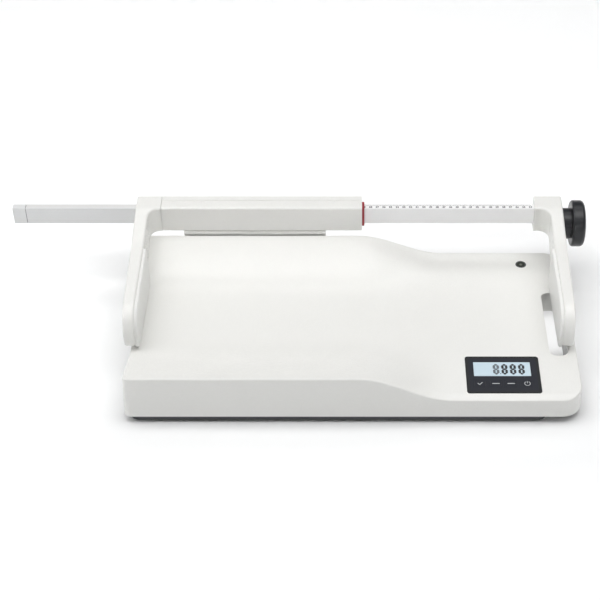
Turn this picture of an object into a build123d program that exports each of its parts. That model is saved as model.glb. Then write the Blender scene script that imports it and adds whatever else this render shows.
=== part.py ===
"""Digital baby weighing scale with a cradle tray and a sliding length rod.

Millimetres, +Z up. The origin is on the floor, under the middle of the whole object.
Inside every sketch, x is measured from the middle of the tray, y backwards from the
front rim of the tray, and z upwards from the floor.
"""

from build123d import *
import os
from math import atan, cos, degrees, pi, radians, tan

# ---- Tray shell -------------------------------------------------------------
shell_length = 634.0       # at its lower edge
rim_depth = 314.5          # front rim to back rim, at the high end
high_rim_z = 80.0
low_rim_z = 45.0
trough_floor_z = 47.0
shell_bottom_z = 12.0
shell_wall = 3.0
draft_angle = 3.0          # the walls flare outwards towards the floor
left_corner_r = 10.0
right_corner_r = 29.0
rim_round = 2.2
overshoot = 5.0            # a cut runs this far past the face that it opens
step_start_x = 5.0         # the rim falls between these two places
step_end_x = 138.0
floor_front_y = 115.0      # the flat floor of the cradle
floor_back_y = rim_depth - 99.5
deck_front_y = 81.0        # the low end is a deck that leans towards the reader up to here
deck_rise = 3.0
deck_back_y = rim_depth - 114.5
deck_back_drop = 4.5       # and falls this much towards its back rim
deck_roll = 14.0           # the deck rolls over towards its front edge
deck_roll_drop = 4.0

# ---- Handle slot ------------------------------------------------------------
slot_length = 136.0
slot_width = 26.5
slot_x = shell_length / 2 - 27.0
slot_y = rim_depth / 2 - 8.25
slot_corner_r = 11.0

# ---- Display ----------------------------------------------------------------
panel_length = 103.0
panel_depth = 70.0
panel_x = shell_length / 2 - 109.2
panel_y = 44.0
panel_corner_r = 4.0
panel_seat = 1.4           # depth of the seat in the deck
panel_proud = 0.6
panel_fit = 0.2            # air between the panel and the sides of its seat
panel_ledge = 4.0          # width of the ledge that the panel rests on
panel_chamfer = 0.3
window_length = 79.5
window_depth = 27.0
window_dx = -0.7           # window centre, from the middle of the panel
window_dy = 10.2
window_corner_r = 0.8
lcd_fit = 0.15             # the LCD is this much smaller and lower than its window
key_length = 15.0
key_depth = 11.0
key_dy = -17.5
key_dx = (-32.9, -11.1, 10.0, 32.4)
key_names = ("confirm", "hold", "mode", "power")
key_corner_r = 2.0
key_flange = 1.0
key_overlap = 1.0          # the flange of a key reaches this far behind the panel
key_travel = 0.4
key_gap = 0.15
dome_diameter = 6.0
dome_height = 0.08
dome_space = 0.1           # height left for a dome that is pressed flat
board_thickness = 1.6
board_gap = 0.5
tub_wall = 2.0
tub_depth = 11.0
tub_gap = 0.15             # between the tub's edge and the underside of the deck
tub_corner_r = 2.0
tub_post_d = 6.0
tub_post_inset = 7.0

# ---- Spirit level -----------------------------------------------------------
level_diameter = 16.0
level_x = shell_length / 2 - 62.8
level_y = rim_depth - 27.5
level_height = 9.0
level_rim = 1.8
level_proud = 0.3
level_fit = 0.1

# ---- Base -------------------------------------------------------------------
base_left_x = 8.0 - shell_length / 2
base_right_x = shell_length / 2 - 49.0
base_bottom_z = 4.0
base_floor = 3.0
base_wall = 2.5
base_wall_top_z = 18.0
base_inset = 5.6           # the wall stands this far inside the tray's lower edge
base_foot_inset = 2.0      # its foot steps forward to here
base_foot_gap = 0.7        # under the tray's lower edge
base_corner_r = 12.0

# ---- Levelling feet ---------------------------------------------------------
foot_left_x = base_left_x + 24.0
foot_right_x = base_right_x - 24.0
foot_front_y = 29.0
foot_back_y = rim_depth - foot_front_y
sole_diameter = 30.0
sole_height = 4.0
flange_diameter = 24.0
flange_height = 3.0
stud_diameter = 8.0
stud_length = 19.0
pocket_gap = 2.0
pocket_roof = 2.0
pocket_headroom = 0.8      # over the flange of a foot that is screwed right in
thread_gap = 0.05
foot_boss_d = 17.0
stud_proud = 2.0           # a stud ends this far above its boss
stud_chamfer = 1.0
sole_chamfer = 0.6

# ---- Load cells and the frame that they carry -------------------------------
cell_length = 60.0
cell_width = 12.0
cell_height = 7.0
cell_foot = 0.6            # height of the pad that each cell is screwed down on
cell_pad = 14.0            # and the side of that pad
cell_waist_length = 18.0   # the slot where a cell bends
cell_waist_height = 4.6
cell_end = 8.0             # the screw and the load button, from the ends of a cell
cell_bore = 3.2
cell_head_d = 5.6
cell_head_height = 1.6
cell_front_y = 42.0
cell_back_y = rim_depth - cell_front_y
beam_left_x = foot_left_x + 32.0
beam_right_x = foot_right_x - 29.0
beam_width = 22.0
beam_height = 5.0
beam_corner_r = 3.0
beam_overhang = 9.0
button_height = 2.8
button_diameter = 9.0
spine_y = (120.0, rim_depth - 120.0)
spine_width = 20.0
post_diameter = 14.0
post_y = (92.0, rim_depth - 62.0)
screw_diameter = 4.0
screw_play = 0.6           # a hole that a screw only passes through is this much wider
screw_fit = 0.2            # a screw is this much thinner than the hole it bites in
screw_bite = 10.0
screw_spare = 2.0          # depth left past the end of a screw
screw_head_d = 8.0
screw_head_height = 2.2
screw_recess = 0.4

# ---- Batteries --------------------------------------------------------------
cell_aa_d = 14.3
cell_aa_length = 49.0
cell_aa_nub = 1.4
cell_aa_nub_d = 5.5
cell_aa_pitch = 15.2
battery_rows = 3
battery_gap = 0.6
nub_gap = 0.2              # air between one battery's end and the next one's
battery_x = -9.0
battery_y = 40.0
compartment_wall = 2.0
compartment_corner_r = 2.0
spring_length = 2.6
spring_diameter = 6.0
contact_thickness = 0.5
contact_size = 10.0
door_thickness = 1.6
door_lap = 2.5
door_travel = 15.0
door_gap = 0.1
door_corner_r = 1.0
grip_count = 5             # grooves for the thumb, near the door's right end
grip_length = 20.0
grip_width = 1.4
grip_pitch = 3.0
grip_depth = 0.5
grip_inset = 12.0
board_x = 110.0
board_y = rim_depth / 2
board_length = 60.0
board_width = 40.0
board_stand = 2.0
board_post_d = 5.0
board_post_inset = 4.0

# ---- Length rod -------------------------------------------------------------
housing_left_x = 29.4 - shell_length / 2
housing_right_x = 12.9
housing_front_y = rim_depth + 0.5
housing_depth = 32.0
housing_bottom_z = 86.4
housing_height = 43.5
rail_height = housing_height - 15.1
rail_depth = 11.0
rail_wall = 1.5
rail_corner_r = 0.8
rail_inner_r = 0.5
rail_fit = 0.1             # air round the rail where the foot stop grips it
rail_y = rim_depth + 12.0
rail_z = housing_bottom_z + housing_height / 2 + 2.65
rail_left_x = housing_left_x - 204.4
rail_cap = 20.0
cap_round = 0.7
cap_seam = 0.8             # open joint between the cap and the rail
cap_seam_depth = 1.0
plug_length = 12.0         # the cap's plug inside the rail
plug_fit = 0.1
strip_width = 7.8
strip_height = 0.45
strip_recess = 0.05        # the strip lies this far below the top of the rail
strip_fit = 0.1
housing_wall = 2.6
housing_round = 3.0
housing_inner_r = 0.8
housing_seam_y = housing_front_y + 19.6  # the two half shells meet here
housing_seam = 0.6                       # width and depth of the groove along their joint
housing_seam_depth = 1.0
glide_gap = 0.3
glide_length = 20.0
glide_play = 0.1
ring_length = 3.6
ring_lip = 3.0             # the ring round the rail is this thick
ring_corner_r = 2.0
ring_round = 0.8
bracket_left_x = housing_left_x + 31.0
bracket_right_x = bracket_left_x + 214.6
bracket_bottom_z = 36.0
bracket_step_z = 66.0
bracket_wall = 5.0
bracket_lip = 5.4          # height of the strip that is flush with the housing
bracket_setback = 3.0      # the bracket stands this far behind that strip
shelf_thickness = 6.0      # the bracket's shelf, under the housing
shelf_margin = 2.0
rib_offset = 12.0          # the ribs under the shelf stand beside the screws
rib_margin = 4.0
rib_height = 24.4
bracket_screw_x = (bracket_left_x + 27.0, bracket_left_x + 107.0, bracket_left_x + 187.0)
bracket_screw_z = 52.0
bracket_bite = 6.0         # depth of its screws in the back of the tray
screw_block = 16.0         # the tray is solid around each of them
screw_block_depth = 12.0

# ---- Arms -------------------------------------------------------------------
arm_root_t = 20.0          # thickness at the root
arm_tip_t = 15.5           # and at the tip
head_arm_x = 10.5 - shell_length / 2     # inner face of the head stop's plate
foot_arm_x = shell_length / 2 - 23.0     # inner face of the foot stop's plate
foot_hub_x = foot_arm_x - 22.1
arm_reach = 228.0          # from the front of the housing to the tip
arm_tip_y = housing_front_y - arm_reach
arm_tip_z = 112.0
arm_elbow = 160.0          # the top edge bends this far behind the tip
arm_elbow_rise = 8.0
arm_low_z = trough_floor_z + 6.5         # lower edge of the broad lobe
arm_chin = 135.0           # length of the lobe's straight lower edge
arm_throat_y = rim_depth - 10.5          # the lower edge clears the rim from here
arm_throat_rise = 2.0      # and lies this far below the housing's underside
arm_root = 10.0
arm_bends = (3.0, 20.0, 60.0, 38.0, 14.0, 45.0, 14.0, 10.0, 3.0)
arm_round = 3.0
arm_gusset_r = 16.0        # hollow corner between an arm and its hub
seam_gap = 1.2             # open joint between the head stop's hub and the housing
seam_depth = 2.4
pad_thickness = 4.6
pad_inset = 3.5            # step between the edge of the arm and the edge of its pad
pad_drop = 3.0             # the pad hangs below the arm
pad_round = 2.0
pad_back_y = housing_front_y - 79.0
hub_gap = 0.6              # air round the rail in the head stop's hub

# ---- Clamp knob -------------------------------------------------------------
knob_y = housing_front_y + 5.0
knob_z = 97.8
knob_diameter = 70.0
knob_neck_d = 46.5
knob_neck = 13.0
knob_head = 19.5
knob_gap = 0.5
knob_round = 3.5
knob_face_round = 6.0
knob_groove = 1.6          # width of the undercut between neck and head
knob_groove_depth = 1.5
bolt_diameter = 8.0
bolt_gap = 0.05
shoe_thickness = 4.0
shoe_inset = 0.5           # the clamp shoe is this much smaller than the rail all round

# ---- Places worked out from the sizes above ---------------------------------
flare = (high_rim_z - shell_bottom_z) * tan(radians(draft_angle))
shell_half = shell_length / 2
arm_outer_x = foot_arm_x + arm_root_t
knob_neck_x = arm_outer_x + knob_gap
knob_right_x = knob_neck_x + knob_neck + knob_head
knob_back_y = knob_y + knob_diameter / 2
cap_left_x = rail_left_x - rail_cap
middle_x = (cap_left_x + knob_right_x) / 2
middle_y = (knob_back_y - flare) / 2

housing_top_z = housing_bottom_z + housing_height
housing_back_y = housing_front_y + housing_depth
housing_middle_y = housing_front_y + housing_depth / 2
base_top_z = base_bottom_z + base_floor
cell_bottom_z = base_top_z + cell_foot
cell_top_z = cell_bottom_z + cell_height
beam_bottom_z = cell_top_z + button_height
beam_top_z = beam_bottom_z + beam_height
rail_top_z = rail_z + rail_height / 2
bolt_tip_x = foot_arm_x - 1.0
rail_right_x = bolt_tip_x - shoe_thickness
cell_mid = cell_length / 2 - cell_end
plate_front_y = housing_front_y + bracket_setback
plate_back_y = plate_front_y + bracket_wall


def level(z):
    """Horizontal plane at height z, with the tray's x and y."""
    return Plane((-middle_x, -middle_y, z))


def side(x):
    """Upright plane that faces +X at x, with the tray's y and z."""
    return Plane(origin=(x - middle_x, -middle_y, 0), x_dir=(0, 1, 0), z_dir=(1, 0, 0))


def front(y):
    """Upright plane that faces the front at y, with the tray's x and z."""
    return Plane(origin=(-middle_x, y - middle_y, 0), x_dir=(1, 0, 0), z_dir=(0, -1, 0))


def slab(x0, x1, y0, y1, z0, z1, corner_r=0.0, mode=Mode.ADD):
    """A block between six planes, with rounded upright edges where corner_r is given."""
    with BuildSketch(level(z0)) as face:
        with Locations(((x0 + x1) / 2, (y0 + y1) / 2)):
            if corner_r:
                RectangleRounded(x1 - x0, y1 - y0, corner_r)
            else:
                Rectangle(x1 - x0, y1 - y0)
    extrude(face.sketch, amount=z1 - z0, mode=mode)


def post(x, y, z0, z1, diameter, mode=Mode.ADD):
    """An upright round post, or a hole."""
    with BuildSketch(level(z0)) as face:
        with Locations((x, y)):
            Circle(diameter / 2)
    extrude(face.sketch, amount=z1 - z0, mode=mode)


def ease(t):
    """A smooth rise from 0 to 1."""
    t = min(max(t, 0.0), 1.0)
    return (1 - cos(pi * t)) / 2


def rim_rise(t):
    """The rise from the floor of the cradle, 0, to its rim, 1: soft below, steep above."""
    t = min(max(t, 0.0), 1.0)
    return (ease(t) + 1 - cos(pi * t / 2)) / 2


def tray_z(x, y):
    """Height of the tray's upper face."""
    front_rise = rim_rise((floor_front_y - y) / floor_front_y)
    back_rise = rim_rise((y - floor_back_y) / (rim_depth - floor_back_y))
    high = trough_floor_z + (high_rim_z - trough_floor_z) * (front_rise + back_rise)
    deck_back = ease((y - deck_back_y) / (rim_depth - deck_back_y))
    low = low_rim_z + deck_rise * min(y / deck_front_y, 1.0) - deck_back_drop * deck_back
    step = ease((x - step_start_x) / (step_end_x - step_start_x))
    roll = max(0.0, 1 - max(y, 0.0) / deck_roll) ** 2
    return high + (low - high - deck_roll_drop * roll) * step


def under_tray(drop):
    """Everything below the tray's upper face, lowered by drop, from a grid of its heights."""
    margin = 20.0
    columns = 44
    rows = 40
    length = shell_length + 2 * margin
    depth = rim_depth + 2 * margin
    grid = []
    for i in range(columns):
        x = -length / 2 + length * i / (columns - 1)
        column = []
        for j in range(rows):
            y = -margin + depth * j / (rows - 1)
            column.append(Vector(x - middle_x, y - middle_y, tray_z(x, y) - drop))
        grid.append(column)
    face = Face.make_surface_from_array_of_points(grid, tol=0.05, min_deg=3, max_deg=5)
    with BuildPart() as block:
        extrude(face, amount=-high_rim_z - margin, dir=(0, 0, 1))
    return block.part


def shell_outline(inset):
    """Plan of the shell at its lower edge."""
    half = shell_half - inset
    with BuildSketch(level(shell_bottom_z)) as plan:
        with BuildLine():
            Polyline(
                (-half, inset - flare),
                (half, inset - flare),
                (half, rim_depth + flare - inset),
                (-half, rim_depth + flare - inset),
                close=True,
            )
        make_face()
        fillet(plan.vertices().sort_by(Axis.X)[:2], left_corner_r - inset)
        fillet(plan.vertices().sort_by(Axis.X)[-2:], right_corner_r - inset)
    return plan.sketch


def slot_outline(margin):
    """The carrying handle's slot, larger all round by margin."""
    with BuildSketch(level(0)) as plan:
        with Locations((slot_x, slot_y)):
            RectangleRounded(
                slot_width + 2 * margin, slot_length + 2 * margin, slot_corner_r + margin
            )
    return plan.sketch


# ---- Tray shell: the moulded cradle, one wall thick, open underneath --------
shell_height = high_rim_z + overshoot - shell_bottom_z
beam_places = [(x, y) for x in (beam_left_x, beam_right_x) for y in post_y]

with BuildPart() as shell_hollow:
    extrude(shell_outline(shell_wall), amount=shell_height, taper=draft_angle)
    add(under_tray(shell_wall), mode=Mode.INTERSECT)
    extrude(slot_outline(shell_wall), amount=shell_height, mode=Mode.SUBTRACT)
    for x, y in beam_places:
        post(x, y, beam_top_z, high_rim_z, post_diameter, Mode.SUBTRACT)
    for x in bracket_screw_x:
        slab(
            x - screw_block / 2, x + screw_block / 2,
            rim_depth - screw_block_depth, rim_depth + overshoot,
            bracket_screw_z - screw_block / 2, bracket_screw_z + screw_block / 2,
            mode=Mode.SUBTRACT,
        )

panel_tilt = degrees(atan(deck_rise / deck_front_y))
panel_z = tray_z(panel_x, panel_y)
panel_plane = Plane(
    origin=(panel_x - middle_x, panel_y - middle_y, panel_z), x_dir=(1, 0, 0), z_dir=(0, 0, 1)
).rotated((panel_tilt, 0, 0))
level_top_z = tray_z(level_x, level_y)

with BuildPart() as tray_shell:
    extrude(shell_outline(0), amount=shell_height, taper=draft_angle)
    add(under_tray(0), mode=Mode.INTERSECT)
    rim = [e for e in tray_shell.edges() if e.bounding_box().min.Z > low_rim_z / 2]
    fillet(rim, rim_round)
    extrude(slot_outline(0), amount=shell_height, mode=Mode.SUBTRACT)
    add(shell_hollow.part, mode=Mode.SUBTRACT)
    with BuildSketch(panel_plane.offset(-panel_seat)) as seat:
        RectangleRounded(
            panel_length + 2 * panel_fit, panel_depth + 2 * panel_fit, panel_corner_r
        )
    extrude(seat.sketch, amount=panel_seat + overshoot, mode=Mode.SUBTRACT)
    with BuildSketch(panel_plane.offset(-2 * shell_wall)) as opening:
        RectangleRounded(
            panel_length - 2 * panel_ledge, panel_depth - 2 * panel_ledge, panel_corner_r
        )
    extrude(opening.sketch, amount=2 * shell_wall, mode=Mode.SUBTRACT)
    post(
        level_x, level_y, level_top_z - level_height, level_top_z + overshoot,
        level_diameter + 2 * level_fit, Mode.SUBTRACT,
    )
    for x, y in beam_places:
        post(
            x, y, beam_top_z, beam_top_z + screw_bite + screw_spare, screw_diameter, Mode.SUBTRACT
        )
    with BuildSketch(front(rim_depth + overshoot)) as screw_holes:
        with Locations([(x, bracket_screw_z) for x in bracket_screw_x]):
            Circle(screw_diameter / 2)
    extrude(
        screw_holes.sketch, amount=overshoot + bracket_bite + screw_spare, mode=Mode.SUBTRACT
    )
tray_shell.part.label = "tray_shell"


os.makedirs("parts", exist_ok=True)
export_step(tray_shell.part, "parts/tray_shell.step")


# ---- Display: a flush panel with four keys, the LCD, its board and their tub --
def on_panel(height):
    """A plane parallel to the display panel, at a height above the deck."""
    return panel_plane.offset(height)


def key_spots():
    """Places of the four keys, on the panel."""
    return [(dx, key_dy) for dx in key_dx]


panel_under = -panel_seat
key_bottom = panel_under - key_gap - key_flange
board_top = key_bottom - key_travel - dome_space
board_bottom = board_top - board_thickness

with BuildPart() as display_panel:
    with BuildSketch(on_panel(panel_under)) as plate:
        RectangleRounded(panel_length, panel_depth, panel_corner_r)
        with Locations((window_dx, window_dy)):
            RectangleRounded(window_length, window_depth, window_corner_r, mode=Mode.SUBTRACT)
        with Locations(key_spots()):
            RectangleRounded(key_length, key_depth, key_corner_r, mode=Mode.SUBTRACT)
    extrude(plate.sketch, amount=panel_seat + panel_proud)
    top_edges = display_panel.faces().sort_by(Axis.Z)[-1].outer_wire().edges()
    chamfer(top_edges, panel_chamfer)
display_panel.part.label = "display_panel"
export_step(display_panel.part, "parts/display_panel.step")

for key_name, spot in zip(key_names, key_spots()):
    with BuildPart() as key:
        with BuildSketch(on_panel(key_bottom)) as flange:
            with Locations(spot):
                RectangleRounded(
                    key_length + 2 * key_overlap, key_depth + 2 * key_overlap, key_corner_r
                )
        extrude(flange.sketch, amount=key_flange)
        with BuildSketch(on_panel(key_bottom)) as cap:
            with Locations(spot):
                RectangleRounded(
                    key_length - 2 * key_gap, key_depth - 2 * key_gap, key_corner_r - key_gap
                )
        extrude(cap.sketch, amount=panel_proud - key_bottom)
    key.part.label = f"key_{key_name}"
    export_step(key.part, f"parts/key_{key_name}.step")

with BuildPart() as display_lcd:
    with BuildSketch(on_panel(board_top)) as glass:
        with Locations((window_dx, window_dy)):
            RectangleRounded(
                window_length - 2 * lcd_fit, window_depth - 2 * lcd_fit, window_corner_r - lcd_fit
            )
    extrude(glass.sketch, amount=panel_proud - lcd_fit - board_top)
display_lcd.part.label = "display_lcd"
export_step(display_lcd.part, "parts/display_lcd.step")

tub_inner_length = panel_length - 2 * panel_ledge
tub_inner_depth = panel_depth - 2 * panel_ledge
tub_bottom = -shell_wall - tub_gap - tub_depth
with BuildPart() as display_board:
    with BuildSketch(on_panel(board_bottom)) as board:
        RectangleRounded(
            tub_inner_length - 2 * board_gap, tub_inner_depth - 2 * board_gap, tub_corner_r
        )
    extrude(board.sketch, amount=board_thickness)
display_board.part.label = "display_board"
export_step(display_board.part, "parts/display_board.step")

with BuildPart() as key_domes:
    with BuildSketch(on_panel(board_top)) as domes:
        with Locations(key_spots()):
            Circle(dome_diameter / 2)
    extrude(domes.sketch, amount=dome_height)
key_domes.part.label = "key_domes"
export_step(key_domes.part, "parts/key_domes.step")

with BuildPart() as display_tub:
    with BuildSketch(on_panel(tub_bottom)) as outside:
        RectangleRounded(
            tub_inner_length + 2 * tub_wall, tub_inner_depth + 2 * tub_wall,
            tub_corner_r + tub_wall,
        )
    extrude(outside.sketch, amount=tub_depth)
    with BuildSketch(on_panel(tub_bottom + tub_wall)) as inside:
        RectangleRounded(tub_inner_length, tub_inner_depth, tub_corner_r)
    extrude(inside.sketch, amount=tub_depth, mode=Mode.SUBTRACT)
    with BuildSketch(on_panel(tub_bottom)) as board_posts:
        with GridLocations(
            tub_inner_length - 2 * tub_post_inset, tub_inner_depth - 2 * tub_post_inset, 2, 2
        ):
            Circle(tub_post_d / 2)
    extrude(board_posts.sketch, amount=board_bottom - tub_bottom)
display_tub.part.label = "display_tub"
export_step(display_tub.part, "parts/display_tub.step")

# ---- Spirit level: a dark cup that drops into the deck, with its vial --------
with BuildPart() as level_cup:
    post(level_x, level_y, level_top_z - level_height, level_top_z + level_proud, level_diameter)
    post(
        level_x, level_y, level_top_z - level_height + level_rim, level_top_z + overshoot,
        level_diameter - 2 * level_rim, Mode.SUBTRACT,
    )
level_cup.part.label = "level_cup"
export_step(level_cup.part, "parts/level_cup.step")

with BuildPart() as level_vial:
    post(
        level_x, level_y, level_top_z - level_height + level_rim, level_top_z,
        level_diameter - 2 * level_rim - level_fit,
    )
level_vial.part.label = "level_vial"
export_step(level_vial.part, "parts/level_vial.step")

# ---- Base: the dark pan that stands on the feet and holds the load cells -----
foot_places = {
    "front_left": (foot_left_x, foot_front_y),
    "front_right": (foot_right_x, foot_front_y),
    "back_left": (foot_left_x, foot_back_y),
    "back_right": (foot_right_x, foot_back_y),
}
cell_places = {
    "front_left": (beam_left_x, cell_front_y, 1),
    "front_right": (beam_right_x, cell_front_y, -1),
    "back_left": (beam_left_x, cell_back_y, 1),
    "back_right": (beam_right_x, cell_back_y, -1),
}
battery_span = 2 * (cell_aa_length + cell_aa_nub) + 2 * spring_length + 2 * contact_thickness
bay_x0 = battery_x - battery_span / 2
bay_x1 = battery_x + battery_span / 2
bay_depth = battery_rows * cell_aa_pitch + 2 * battery_gap
bay_y0 = battery_y - bay_depth / 2
bay_y1 = battery_y + bay_depth / 2
door_bottom_z = base_bottom_z + door_gap
door_top_z = door_bottom_z + door_thickness
battery_z = door_top_z + battery_gap + cell_aa_d / 2
bay_top_z = battery_z + cell_aa_d / 2 + battery_gap
base_front_y = base_inset - flare
base_back_y = rim_depth - base_front_y
base_foot_front_y = base_foot_inset - flare
base_foot_back_y = rim_depth - base_foot_front_y
base_foot_top_z = shell_bottom_z - base_foot_gap
flange_top_z = sole_height + flange_height
pocket_top_z = flange_top_z + pocket_headroom
pocket_diameter = sole_diameter + 2 * pocket_gap
stud_top_z = flange_top_z + stud_length
board_post_dx = board_length / 2 - board_post_inset
board_post_dy = board_width / 2 - board_post_inset

with BuildPart() as base_pan:
    slab(
        base_left_x, base_right_x, base_front_y, base_back_y,
        base_bottom_z, base_wall_top_z, base_corner_r,
    )
    slab(
        base_left_x, base_right_x, base_foot_front_y, base_foot_back_y,
        base_bottom_z, base_foot_top_z, base_corner_r,
    )
    slab(
        base_left_x + base_wall, base_right_x - base_wall,
        base_front_y + base_wall, base_back_y - base_wall,
        base_top_z, base_wall_top_z, base_corner_r - base_wall, Mode.SUBTRACT,
    )
    slab(
        base_left_x + base_wall, base_right_x - base_wall,
        base_foot_front_y + base_wall, base_foot_back_y - base_wall,
        base_top_z, base_foot_top_z - base_wall, base_corner_r - base_wall, Mode.SUBTRACT,
    )
    for x, y in foot_places.values():
        post(x, y, base_bottom_z, pocket_top_z + pocket_roof, pocket_diameter + 2 * compartment_wall)
        post(x, y, pocket_top_z, stud_top_z - stud_proud, foot_boss_d)
    for x, y, inward in cell_places.values():
        foot_x = x + inward * 2 * cell_mid
        slab(
            foot_x - cell_pad / 2, foot_x + cell_pad / 2, y - cell_pad / 2, y + cell_pad / 2,
            base_bottom_z, cell_bottom_z,
        )
    slab(
        bay_x0 - compartment_wall, bay_x1 + compartment_wall,
        bay_y0 - compartment_wall, bay_y1 + compartment_wall,
        base_bottom_z, bay_top_z + compartment_wall, compartment_corner_r,
    )
    for x in (board_x - board_post_dx, board_x + board_post_dx):
        for y in (board_y - board_post_dy, board_y + board_post_dy):
            post(x, y, base_bottom_z, base_top_z + board_stand, board_post_d)
    slab(bay_x0, bay_x1, bay_y0, bay_y1, 0, bay_top_z, mode=Mode.SUBTRACT)
    slab(
        bay_x0 - door_lap - door_gap, bay_x1 + door_lap + door_gap + door_travel,
        bay_y0 - door_lap - door_gap, bay_y1 + door_lap + door_gap,
        0, door_top_z + door_gap, mode=Mode.SUBTRACT,
    )
    for x, y in foot_places.values():
        post(x, y, 0, pocket_top_z, pocket_diameter, Mode.SUBTRACT)
        post(x, y, base_bottom_z, stud_top_z, stud_diameter + 2 * thread_gap, Mode.SUBTRACT)
    for x, y, inward in cell_places.values():
        post(x + inward * 2 * cell_mid, y, 0, cell_bottom_z, cell_bore, Mode.SUBTRACT)
base_pan.part.label = "base_pan"
export_step(base_pan.part, "parts/base_pan.step")

# ---- Load cells: slotted aluminium bars, one near each corner ----------------
for corner, (x, y, inward) in cell_places.items():
    cell_x = x + inward * cell_mid
    with BuildPart() as load_cell:
        slab(
            cell_x - cell_length / 2, cell_x + cell_length / 2,
            y - cell_width / 2, y + cell_width / 2, cell_bottom_z, cell_top_z,
        )
        with BuildSketch(front(y - cell_width)) as waist:
            with Locations((cell_x, (cell_bottom_z + cell_top_z) / 2)):
                SlotOverall(cell_waist_length, cell_waist_height)
        extrude(waist.sketch, amount=-2 * cell_width, mode=Mode.SUBTRACT)
        post(x + inward * 2 * cell_mid, y, cell_bottom_z, cell_top_z, cell_bore, Mode.SUBTRACT)
    load_cell.part.label = f"load_cell_{corner}"
    export_step(load_cell.part, f"parts/load_cell_{corner}.step")

with BuildPart() as cell_screws:
    for x, y, inward in cell_places.values():
        screw_x = x + inward * 2 * cell_mid
        post(screw_x, y, base_bottom_z + screw_recess, cell_top_z, cell_bore - screw_fit)
        post(screw_x, y, cell_top_z, cell_top_z + cell_head_height, cell_head_d)
cell_screws.part.label = "cell_screws"
export_step(cell_screws.part, "parts/cell_screws.step")

with BuildPart() as load_buttons:
    for x, y, inward in cell_places.values():
        post(x, y, cell_top_z, beam_bottom_z, button_diameter)
load_buttons.part.label = "load_buttons"
export_step(load_buttons.part, "parts/load_buttons.step")

# ---- Platform frame: two cross beams on the load cells, joined by two spines --
for beam_name, x in (("left", beam_left_x), ("right", beam_right_x)):
    with BuildPart() as cross_beam:
        slab(
            x - beam_width / 2, x + beam_width / 2,
            cell_front_y - beam_overhang, cell_back_y + beam_overhang,
            beam_bottom_z, beam_top_z, beam_corner_r,
        )
        for y in post_y:
            post(x, y, beam_bottom_z, beam_top_z, screw_diameter + screw_play, Mode.SUBTRACT)
    cross_beam.part.label = f"cross_beam_{beam_name}"
    export_step(cross_beam.part, f"parts/cross_beam_{beam_name}.step")

for spine_name, y in zip(("front", "back"), spine_y):
    with BuildPart() as spine:
        slab(
            beam_left_x + beam_width / 2, beam_right_x - beam_width / 2,
            y - spine_width / 2, y + spine_width / 2, beam_bottom_z, beam_top_z,
        )
    spine.part.label = f"platform_spine_{spine_name}"
    export_step(spine.part, f"parts/platform_spine_{spine_name}.step")

with BuildPart() as platform_screws:
    for x, y in beam_places:
        post(x, y, beam_bottom_z, beam_top_z + screw_bite, screw_diameter - screw_fit)
        post(x, y, beam_bottom_z - screw_head_height, beam_bottom_z, screw_head_d)
platform_screws.part.label = "platform_screws"
export_step(platform_screws.part, "parts/platform_screws.step")

# ---- Levelling feet: a rubber sole under a threaded stud ---------------------
for corner, (x, y) in foot_places.items():
    with BuildPart() as foot_sole:
        post(x, y, 0, sole_height, sole_diameter)
        chamfer(foot_sole.faces().sort_by(Axis.Z)[0].edges(), sole_chamfer)
    foot_sole.part.label = f"foot_sole_{corner}"
    export_step(foot_sole.part, f"parts/foot_sole_{corner}.step")

    with BuildPart() as foot_stud:
        post(x, y, sole_height, flange_top_z, flange_diameter)
        post(x, y, flange_top_z, stud_top_z, stud_diameter)
        chamfer(foot_stud.faces().sort_by(Axis.Z)[-1].edges(), stud_chamfer)
    foot_stud.part.label = f"foot_stud_{corner}"
    export_step(foot_stud.part, f"parts/foot_stud_{corner}.step")

# ---- Batteries, their contacts and sliding door, and the weighing board ------
row_y = [battery_y + (row - (battery_rows - 1) / 2) * cell_aa_pitch for row in range(battery_rows)]
with BuildPart() as batteries:
    for y in row_y:
        for start_x in (bay_x0 + contact_thickness + spring_length, battery_x + nub_gap):
            with BuildSketch(side(start_x)) as can:
                with Locations((y, battery_z)):
                    Circle(cell_aa_d / 2)
            extrude(can.sketch, amount=cell_aa_length - nub_gap)
            with BuildSketch(side(start_x + cell_aa_length - nub_gap)) as nub:
                with Locations((y, battery_z)):
                    Circle(cell_aa_nub_d / 2)
            extrude(nub.sketch, amount=cell_aa_nub)
batteries.part.label = "batteries"
export_step(batteries.part, "parts/batteries.step")

with BuildPart() as battery_contacts:
    for wall_x, inner_x in (
        (bay_x0, bay_x0 + contact_thickness),
        (bay_x1 - contact_thickness, bay_x1),
    ):
        slab(
            wall_x, inner_x, row_y[0] - contact_size / 2, row_y[-1] + contact_size / 2,
            battery_z - contact_size / 2, battery_z + contact_size / 2,
        )
    for y in row_y:
        for spring_x in (bay_x0 + contact_thickness, bay_x1 - contact_thickness - spring_length):
            with BuildSketch(side(spring_x)) as spring:
                with Locations((y, battery_z)):
                    Circle(spring_diameter / 2)
            extrude(spring.sketch, amount=spring_length)
battery_contacts.part.label = "battery_contacts"
export_step(battery_contacts.part, "parts/battery_contacts.step")

with BuildPart() as battery_door:
    slab(
        bay_x0 - door_lap, bay_x1 + door_lap, bay_y0 - door_lap, bay_y1 + door_lap,
        door_bottom_z, door_top_z, door_corner_r,
    )
    with BuildSketch(level(door_bottom_z)) as grips:
        with Locations((bay_x1 - grip_inset, battery_y)):
            with GridLocations(grip_pitch, 0, grip_count, 1):
                SlotOverall(grip_length, grip_width, rotation=90)
    extrude(grips.sketch, amount=grip_depth, mode=Mode.SUBTRACT)
battery_door.part.label = "battery_door"
export_step(battery_door.part, "parts/battery_door.step")

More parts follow.
